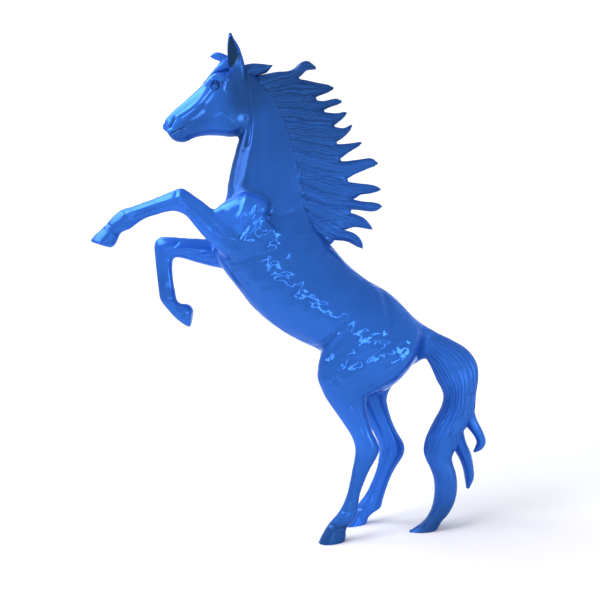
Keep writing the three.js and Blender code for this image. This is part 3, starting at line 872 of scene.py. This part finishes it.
class HorseSettings(bpy.types.PropertyGroup):
    """Sizes and colours of the horse."""

    grain: bpy.props.FloatProperty(
        name="Grain",
        description="Size of the faces of the body's skin",
        default=0.0094,
        min=0.004,
        unit="LENGTH",
    )
    colour: bpy.props.FloatVectorProperty(
        name="Resin",
        description="Colour of the resin",
        subtype="COLOR",
        default=(0.03, 0.15, 0.62),
        min=0,
        max=1,
    )
    # The colour that painted shade turns the resin to, in hollows and in shaded patches.
    shade: bpy.props.FloatVectorProperty(
        name="Shade",
        description="Colour of the resin in its hollows",
        subtype="COLOR",
        default=(0.011, 0.038, 0.1),
        min=0,
        max=1,
    )


class StageSettings(bpy.types.PropertyGroup):
    """Sizes and colours of the floor and the light."""

    radius: bpy.props.FloatProperty(
        name="Floor radius",
        description="How far the floor runs before it turns up",
        default=9.0,
        unit="LENGTH",
    )
    colour: bpy.props.FloatVectorProperty(
        name="Floor",
        description="Colour of the floor",
        subtype="COLOR",
        default=(0.86, 0.87, 0.88),
        min=0,
        max=1,
    )


def set_value(node, name, value):
    """Sets the value of a node's input."""
    node.inputs[name].default_value = value


def add_node(tree, kind, inputs=None, **fields):
    """A new shader node with its fields, and a value or a link on each input that is given."""
    made = tree.nodes.new("ShaderNode" + kind)
    for name, value in fields.items():
        setattr(made, name, value)
    for name, value in (inputs or {}).items():
        if isinstance(value, bpy.types.NodeSocket):
            tree.links.new(value, made.inputs[name])
        else:
            set_value(made, name, value)
    return made


def add_noise(tree, here, scale, detail, distortion=0.0):
    """Noise in space: how many waves to a metre, their detail and their distortion."""
    inputs = {"Vector": here, "Scale": scale, "Detail": detail, "Distortion": distortion}
    return add_node(tree, "TexNoise", inputs).outputs["Fac"]


def add_ramp(tree, value, start, end):
    """A value moved from one range into another."""
    inputs = {
        "Value": value, "From Min": start[0], "From Max": start[1], "To Min": end[0], "To Max": end[1]
    }
    return add_node(tree, "MapRange", inputs).outputs["Result"]


def add_maths(tree, operation, *values, clamp=False):
    """The outcome of an operation on numbers and links."""
    made = add_node(tree, "Math", dict(enumerate(values)), operation=operation, use_clamp=clamp)
    return made.outputs["Value"]


# The lacquer's unevenness, layer by layer: how many waves to a metre, their detail, the bump's
# strength and its height in metres.
WAVES = [(7.0, 2.0, 0.5, 0.022), (15.0, 1.0, 0.7, 0.01), (60.0, 2.0, 0.1, 0.0015)]
WAVE_DISTORTION = 0.6

# How much of the waves is left on the head, the limbs and the hair.
CALM = 0.18

# Roughness of the lacquer where it is calm and where it has all its waves, and how far it clouds.
ROUGHNESS = (0.19, 0.07)
CLOUD_ROUGHNESS = 0.05

# The clouds: how many to a metre, their detail, and the palest and the strongest colour.
CLOUD = (5.0, 3.0)
CLOUD_TONES = (0.9, 1.1)

# Strands: how many to a lock; the waves that they waver in, by their count to a metre and their
# detail, and how far; the strength of their bump and its height in metres; and how much painted
# shade lies in the valleys between them as their noise falls from one level to another.
STRAND_COUNT = 9.0
WAVER = (16.0, 1.0)
WAVER_REACH = 0.2
STRAND_BUMP = (0.9, 0.007)
VALLEY = (0.56, 0.38)
VALLEY_SHADE = 0.28

# Plain values of the shader.
LACQUER = {
    "Metallic": 0.42,
    "Specular IOR Level": 0.15,
    "Specular Tint": (0.4, 0.58, 1, 1),
    "IOR": 1.5,
}


def resin_material(settings):
    """Slightly pearly resin under a glossy lacquer, with painted shade in its hollows, in shaded
    patches and between strands.
    """
    material = bpy.data.materials.new("blue_resin")
    material.use_nodes = True
    tree = material.node_tree
    shader = tree.nodes["Principled BSDF"]
    here = add_node(tree, "TexCoord").outputs["Object"]
    # The painted shade kept on each point (the hollow attribute), the hair, the strands' places and the
    # lacquer's waves.
    hollow, hair, strand, wave = (
        add_node(tree, "Attribute", attribute_name=name).outputs["Fac"]
        for name in ("hollow", "hair", "strand", "wave")
    )

    cloud = add_noise(tree, here, *CLOUD)
    gloss = add_ramp(tree, wave, (CALM, 1), ROUGHNESS)
    rough = add_maths(tree, "MULTIPLY_ADD", cloud, CLOUD_ROUGHNESS, gloss)

    waver = add_noise(tree, here, *WAVER)
    course = add_maths(tree, "MULTIPLY_ADD", waver, WAVER_REACH, strand)
    inputs = {"W": course, "Scale": STRAND_COUNT, "Detail": 2.0}
    line = add_node(tree, "TexNoise", inputs, noise_dimensions="1D").outputs["Fac"]
    # Painted shade in the valleys between strands, added to the painted shade kept on the points.
    valley = add_ramp(tree, line, VALLEY, (0, VALLEY_SHADE))
    dark = add_maths(tree, "MULTIPLY_ADD", valley, hair, hollow, clamp=True)

    # The resin's colour mixed towards the painted shade colour by how much painted shade each place
    # has.
    inputs = {0: dark, 6: (*settings.colour, 1), 7: (*settings.shade, 1)}
    tone = add_node(tree, "Mix", inputs, data_type="RGBA").outputs[2]
    inputs = {0: tone, "Scale": add_ramp(tree, cloud, (0, 1), CLOUD_TONES)}
    colour = add_node(tree, "VectorMath", inputs, operation="SCALE").outputs["Vector"]

    normal = None
    for scale, detail, strength, distance in WAVES:
        swell = add_noise(tree, here, scale, detail, WAVE_DISTORTION)
        height = add_maths(tree, "MULTIPLY", swell, wave)
        normal = bump(tree, height, strength, distance, normal)
    comb = add_maths(tree, "MULTIPLY", line, hair)
    normal = bump(tree, comb, *STRAND_BUMP, normal)

    for name, link in (("Base Color", colour), ("Roughness", rough), ("Normal", normal)):
        tree.links.new(link, shader.inputs[name])
    for name, value in LACQUER.items():
        set_value(shader, name, value)
    return material


def bump(tree, height, strength, distance, normal):
    """A layer of relief on the normals, over the layer below it."""
    inputs = {"Height": height, "Strength": strength, "Distance": distance}
    if normal:
        inputs["Normal"] = normal
    return add_node(tree, "Bump", inputs).outputs["Normal"]


def keep_values(mesh, name, values):
    """Keeps a value on each point of a mesh, for the material."""
    layer = mesh.attributes.new(name, "FLOAT", "POINT")
    layer.data.foreach_set("value", values.astype(np.float32))


def mane_mask(points, across, down):
    """How far the points belong to the mane, from 0 to 1."""
    crest = np.array([rib[2:4] for rib in MANE_FIN], float)
    past = smoothed(0, 6, across - np.interp(down, crest[:, 1], crest[:, 0]))
    return past * ((down < 250) & (down > 60) & (np.abs(points[:, 1]) < 12 * SQUARE))


# The edge of the left shoulder cap as it is drawn: the cap is left without painted shade, as painted
# light, and a painted shadow rings it.
CAP_EDGE = [
    (214, 211), (219, 205), (225, 201), (236, 195.5), (245, 191.5), (253, 193.5), (261, 196),
    (268, 201), (266, 207), (264, 211), (270, 217), (265, 222), (258, 228), (251, 234),
    (245, 238), (238, 234), (231, 228), (219, 218), (214, 211),
]


def inside_of(points, edge):
    """How far points lie inside a closed line of corners, and less than nothing outside it."""
    edge = np.array(edge, float)
    within = np.zeros(len(points), bool)
    for (x1, y1), (x2, y2) in zip(edge[:-1], edge[1:]):
        if y1 != y2:
            crosses = (points[:, 1] < y1) != (points[:, 1] < y2)
            within ^= crosses & (points[:, 0] < x1 + (points[:, 1] - y1) / (y2 - y1) * (x2 - x1))
    return np.where(within, 1, -1) * distance_to(points, edge)


# A point on the bridge of the nose, and the way down from it into the cheek, where painted shade lies
# below the bridge.
BRIDGE = (178, 115)
BRIDGE_FALL = (0.73, 0.68)

# Ellipses in the drawing, of painted shade in the eye socket and on the poll and of less painted shade
# on the brow: the middle's place across and down, half the width, half the height.
SOCKET = (214.6, 84, 5.5, 5)
BROW = (221, 75, 16, 7)
POLL = (248, 90, 28, 36)

# The box of the ears' hollows, which get painted shade, and how far to the side they are, in squares.
EAR_BOX = (224, 242, 0, 67)
EAR_SIDE = (9, 13)

# How sharply a hollow bends where its painted shade begins and where that shade is darkest, in radians
# to a metre; the shortest edge whose bend is taken, in metres; and how often the bend is evened out.
PAINTED_SHADE_BEND = (10, 90)
SHORTEST_EDGE = 0.002
EVENING = 3


def from_middle(across, down, ellipse):
    """How far out points lie in an ellipse, whose rim is at 1."""
    right, below, half_width, half_height = ellipse
    return np.hypot((across - right) / half_width, (down - below) / half_height)


def bend_of(mesh, points, normals):
    """How sharply the surface bends inwards at each point, in radians to a metre."""
    ends = np.empty(len(mesh.edges) * 2, int)
    mesh.edges.foreach_get("vertices", ends)
    a, b = ends.reshape(-1, 2).T
    step = points[b] - points[a]
    square = np.maximum(np.einsum("ij,ij->i", step, step), SHORTEST_EDGE ** 2)
    rise = 2 * np.einsum("ij,ij->i", step, normals[a]) / square
    fall = -2 * np.einsum("ij,ij->i", step, normals[b]) / square

    def gathered(first, second):
        return np.bincount(a, first, len(points)) + np.bincount(b, second, len(points))

    count = np.maximum(gathered(None, None), 1)
    bend = gathered(rise, fall) / count
    for _ in range(EVENING):
        bend = 0.5 * bend + 0.5 * gathered(bend[b], bend[a]) / count
    return bend


def paint_shade(mesh):
    """Keeps on each point how much painted shade darkens its resin, from 0 to 1: in hollows, ears, the
    eye socket and shaded patches.
    """
    points = vectors_of(mesh, "co")
    normals = vectors_of(mesh, "normal")
    # Painted shade in hollows, by how sharply the surface bends inwards; then inside the ears and in
    # the eye socket; and less of it under the brow.
    shade = smoothed(*PAINTED_SHADE_BEND, bend_of(mesh, points, normals))
    across, down = drawn(points)
    left = points[:, 1] < 0
    side = np.abs(points[:, 1]) / SQUARE
    in_ear = in_boxes(across, down, [EAR_BOX]) & (side > EAR_SIDE[0]) & (side < EAR_SIDE[1])
    shade = np.maximum(shade, in_ear * smoothed(0.1, 0.6, normals[:, 1] * np.sign(points[:, 1])))
    shade = np.maximum(shade, 0.4 * smoothed(1.1, 0.5, from_middle(across, down, SOCKET)))
    shade *= 0.35 + 0.65 * smoothed(0.7, 1.1, from_middle(across, down, BROW))

    # Painted shade on the trunk, less of it lower down, but not on its tail and its shoulder caps,
    # which are left unshaded as painted light; a lighter painted shade on the tail; and a painted
    # shadow in a rim around the cap.
    mane = mane_mask(points, across, down)
    depth = inside_of(np.column_stack([across, down]), CAP_EDGE)
    bare = 1 - smoothed(-0.9, 0.9, depth)
    trunk = smoothed(212, 238, across) * smoothed(440, 395, down)
    tail = smoothed(405, 425, across) * (down > 330)
    shade += trunk * (1 - tail) * bare * (0.31 - 0.08 * smoothed(280, 330, down)) + 0.15 * tail
    shade += 0.14 * smoothed(9, 0, -depth) * bare * (down < 216)

    # Painted shade on the mane, darkest at its top, the poll, the neck, the muzzle below its bridge,
    # and the throat; the hollows' painted shade is mostly lifted off the mane.
    shade *= 1 - 0.75 * mane
    shade += mane * (0.35 - 0.16 * smoothed(80, 150, down))
    shade += 0.24 * smoothed(1, 0.3, from_middle(across, down, POLL)) * (1 - mane)
    below = (across - BRIDGE[0]) * BRIDGE_FALL[0] + (down - BRIDGE[1]) * BRIDGE_FALL[1]
    under = smoothed(3, 12, below)
    shade += 0.2 * smoothed(235, 150, down) * (1 - 0.5 * smoothed(140, 175, down)) * under * bare
    shade += 0.34 * smoothed(226, 192, across) * (down < 150) * under
    throat = smoothed(254, 242, across) * smoothed(126, 142, down) * smoothed(196, 184, down)
    shade += 0.3 * throat * (across > 228) * bare

    # Painted shade on the left foreleg below its knee, the right one below its own, the left hind
    # cannon and hoof, and the tail's end, the hoof and the tail darkest at the ground.
    shade += 0.2 * smoothed(170, 140, across) * (down > 180)
    shade += 0.2 * smoothed(205, 190, across) * smoothed(262, 280, down)
    shade += 0.3 * smoothed(430, 475, down) * (across < 400) * left
    shade += 0.4 * smoothed(516, 530, down) * (across < 400) * left
    shade += 0.5 * smoothed(485, 525, down) * (across > 405)
    # Kept as each point's painted shade.
    keep_values(mesh, "hollow", np.minimum(shade, 1))


def mark_strands(mesh):
    """Keeps on each point how far across the hair it is, lock by lock, and whether it is hair."""
    points = vectors_of(mesh, "co")
    across, down = drawn(points)
    here = np.column_stack([across, down])
    strand = np.zeros(len(points))
    best = np.full(len(points), np.inf)
    for number, ribs in enumerate([*MANE_LOCKS, TAIL, *TAIL_LOCKS]):
        rows = np.array([rib[:4] for rib in ribs], float)
        parts = [np.linspace(a, b, 8, endpoint=False) for a, b in zip(rows[:-1], rows[1:])]
        fine = np.vstack([*parts, rows[-1:]])
        start, end = fine[:, 0:2], fine[:, 2:4]
        middle = (start + end) / 2
        width = np.linalg.norm(end - start, axis=1)
        gap = np.linalg.norm(here[:, None, :] - middle[None], axis=2)
        row = np.argmin(gap - 0.3 * width, axis=1)
        arm = (end - start)[row]
        share = np.einsum("ij,ij->i", here - start[row], arm) / np.maximum(width[row] ** 2, 1e-9)
        outside = np.abs(share - 0.5)
        along = np.linalg.norm(here - start[row] - share[:, None] * arm, axis=1)
        score = outside + along / 12
        closer = score < best
        first = number + (20 if number >= len(MANE_LOCKS) else 0)
        size = 5 if ribs is TAIL else 1
        strand[closer] = (first + size * np.clip(share, 0, 1))[closer]
        best[closer] = score[closer]
    tail = smoothed(414, 426, across) * (down > 330)
    mane = mane_mask(points, across, down)
    # How much of a place is hair, which sets its strand bump and its painted shade between strands.
    hair = np.maximum(mane, 0.45 * tail)
    trunk = smoothed(208, 236, down) * smoothed(410, 385, down) * smoothed(222, 246, across)
    wave = CALM + (1 - CALM) * trunk * (1 - mane) * (1 - tail)
    for name, values in (("strand", strand), ("hair", hair), ("wave", wave)):
        keep_values(mesh, name, values)


class HORSE_OT_figure(bpy.types.Operator):
    """Model the horse in one casting and finish it in glossy resin"""

    bl_idname = "horse.figure"
    bl_label = "Horse"
    bl_options = {"REGISTER", "UNDO"}

    def execute(self, context):
        settings = context.scene.horse_figure
        figure = model_body(settings.grain)
        for ear in model_ears():
            combine(figure, ear, "UNION")
        combine(figure, model_hair(), "UNION")
        soften_seams(figure)
        combine(figure, ground_block(), "DIFFERENCE")
        figure.data.validate()
        figure.name = "horse_figure"
        figure.data.name = "horse_figure"
        figure.data.shade_smooth()
        figure.data.set_sharp_from_angle(angle=math.radians(50))
        paint_shade(figure.data)
        mark_strands(figure.data)
        figure.data.materials.clear()
        figure.data.materials.append(resin_material(settings))
        figure.data.polygons.foreach_set("material_index", [0] * len(figure.data.polygons))
        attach(figure, "root")
        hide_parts("horse")
        return {"FINISHED"}


def area_light(name, place_at, aim, size, power, colour=(1, 1, 1)):
    """A soft rectangular light that shines from one place towards another."""
    data = bpy.data.lights.new(name, "AREA")
    data.shape = "RECTANGLE"
    data.size, data.size_y = size
    data.energy = power
    data.color = colour
    light = bpy.data.objects.new(name, data)
    light.location = place_at
    light.rotation_euler = (Vector(aim) - Vector(place_at)).to_track_quat("-Z", "Y").to_euler()
    light.visible_camera = False
    bpy.context.scene.collection.objects.link(light)


# How far the floor takes to turn up, and how high the wall is above that, in metres.
FLOOR_BEND = 2.5
WALL_HEIGHT = 8.0


def floor_object(settings):
    """A round floor that turns up into a wall all the way round."""
    bm = bmesh.new()
    radius = settings.radius
    profile = [(0.001, 0), (radius * 0.5, 0), (radius, 0)]
    for i in range(1, 9):
        turn = i / 8 * math.pi / 2
        profile.append(
            (radius + FLOOR_BEND * math.sin(turn), FLOOR_BEND * (1 - math.cos(turn)))
        )
    profile.append((radius + FLOOR_BEND, FLOOR_BEND + WALL_HEIGHT))
    verts = [bmesh.ops.create_vert(bm, co=(x, 0, z))["vert"][0] for x, z in profile]
    edges = [
        bmesh.ops.contextual_create(bm, geom=[a, b])["edges"][0]
        for a, b in zip(verts[:-1], verts[1:])
    ]
    bmesh.ops.spin(
        bm,
        geom=verts + edges,
        cent=(0, 0, 0),
        axis=(0, 0, 1),
        angle=2 * math.pi,
        steps=96,
        use_merge=True,
    )
    bmesh.ops.remove_doubles(bm, verts=bm.verts, dist=0.002)
    bmesh.ops.recalc_face_normals(bm, faces=bm.faces)
    made = object_from(bm, "floor")
    made.data.shade_smooth()
    return made


# Each light's name, its place, where it aims, its width and height, its power and its colour.
LIGHTS = [
    ("key", (-3.4, -1.8, 5.6), (0, 0, 1.3), (3.4, 3.4), 215, (1, 0.9, 1)),
    ("top", (-3.4, 1.4, 6.6), (-0.4, 0, 1.6), (5.0, 4.5), 300),
    ("strip", (1.0, -8.5, 2.1), (0, 0, 1.3), (9.0, 0.45), 90),
    ("fill", (5.5, -5.0, 1.6), (0.5, 0, 0.9), (2.0, 2.5), 110),
    ("backdrop", (0, 2.5, 7.6), (0, 12, 6.0), (8.0, 1.5), 520),
]


class HORSE_OT_stage(bpy.types.Operator):
    """Set the pale floor, the soft lights and the camera"""

    bl_idname = "horse.stage"
    bl_label = "Stage"
    bl_options = {"REGISTER", "UNDO"}

    def execute(self, context):
        settings = context.scene.horse_stage
        floor = floor_object(settings)
        material = bpy.data.materials.new("floor")
        material.use_nodes = True
        shader = material.node_tree.nodes["Principled BSDF"]
        set_value(shader, "Base Color", (*settings.colour, 1))
        set_value(shader, "Roughness", 0.9)
        floor.data.materials.append(material)

        world = bpy.data.worlds.new("studio")
        world.use_nodes = True
        set_value(world.node_tree.nodes["Background"], "Color", (0.95, 0.97, 1.0, 1))
        set_value(world.node_tree.nodes["Background"], "Strength", 0.54)
        context.scene.world = world

        for light in LIGHTS:
            area_light(*light)

        camera = bpy.data.objects.new("camera", bpy.data.cameras.new("camera"))
        camera.data.lens = camera.data.sensor_width * EYE_DISTANCE / PICTURE_WIDTH
        right = Vector((math.cos(LEAN), 0, -math.sin(LEAN)))
        up = Vector((math.sin(LEAN), 0, math.cos(LEAN)))
        turn = Matrix((right, up, right.cross(up))).transposed().to_4x4()
        eye = Vector((SHIFT.x, -EYE_DISTANCE * SQUARE, EYE_HEIGHT * SQUARE))
        camera.matrix_world = Matrix.Translation(eye) @ turn
        context.scene.collection.objects.link(camera)
        context.scene.camera = camera
        context.scene.view_settings.view_transform = "Standard"
        return {"FINISHED"}


class HORSE_PT_panel(bpy.types.Panel):
    """Lists the horse and its stage."""

    bl_idname = "HORSE_PT_panel"
    bl_label = "Rearing horse"
    bl_space_type = "VIEW_3D"
    bl_region_type = "UI"
    bl_category = "Horse"

    def draw(self, context):
        layout = self.layout
        for group in (context.scene.horse_figure, context.scene.horse_stage):
            for name in group.bl_rna.properties.keys():
                if name not in ("rna_type", "name"):
                    layout.prop(group, name)
        layout.operator(HORSE_OT_figure.bl_idname)
        layout.operator(HORSE_OT_stage.bl_idname)


CLASSES = (HorseSettings, StageSettings, HORSE_OT_figure, HORSE_OT_stage, HORSE_PT_panel)


def register():
    for cls in CLASSES:
        bpy.utils.register_class(cls)
    bpy.types.Scene.horse_figure = bpy.props.PointerProperty(type=HorseSettings)
    bpy.types.Scene.horse_stage = bpy.props.PointerProperty(type=StageSettings)


def unregister():
    del bpy.types.Scene.horse_stage
    del bpy.types.Scene.horse_figure
    for cls in reversed(CLASSES):
        bpy.utils.unregister_class(cls)


def main():
    register()
    bpy.ops.horse.figure()
    bpy.ops.horse.stage()


if __name__ == "__main__":
    main()
